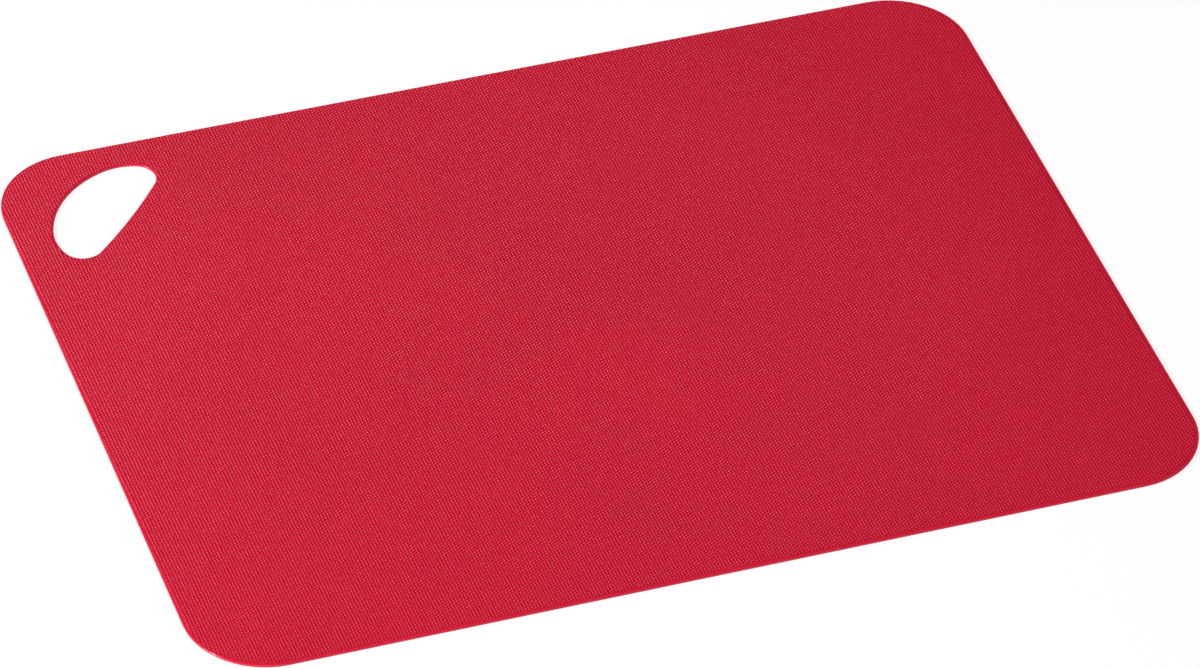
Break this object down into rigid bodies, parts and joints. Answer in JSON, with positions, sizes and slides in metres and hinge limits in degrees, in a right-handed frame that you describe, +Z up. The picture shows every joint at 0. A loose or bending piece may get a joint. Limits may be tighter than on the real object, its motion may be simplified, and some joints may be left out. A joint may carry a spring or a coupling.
{
  "type": "flexible cutting mat",
  "caption": "Thin flexible plastic sheet with round corners, a fine bumpy grip texture and a D-shaped hanging hole across one corner.",
  "frame": {"origin": "middle of the sheet's underside, on the surface that it lies on", "axes": "+X along the sheet's length to the right, +Y along its width to the far edge, +Z up; the hanging hole is in the -X, +Y corner"},
  "size_m": [0.38, 0.29, 0.001],
  "materials": {
    "mat_plastic": "embossed red polypropylene with a satin sheen"
  },
  "bodies": {
    "root": {"cutting_mat": "mat_plastic"}
  },
  "joints": []
}
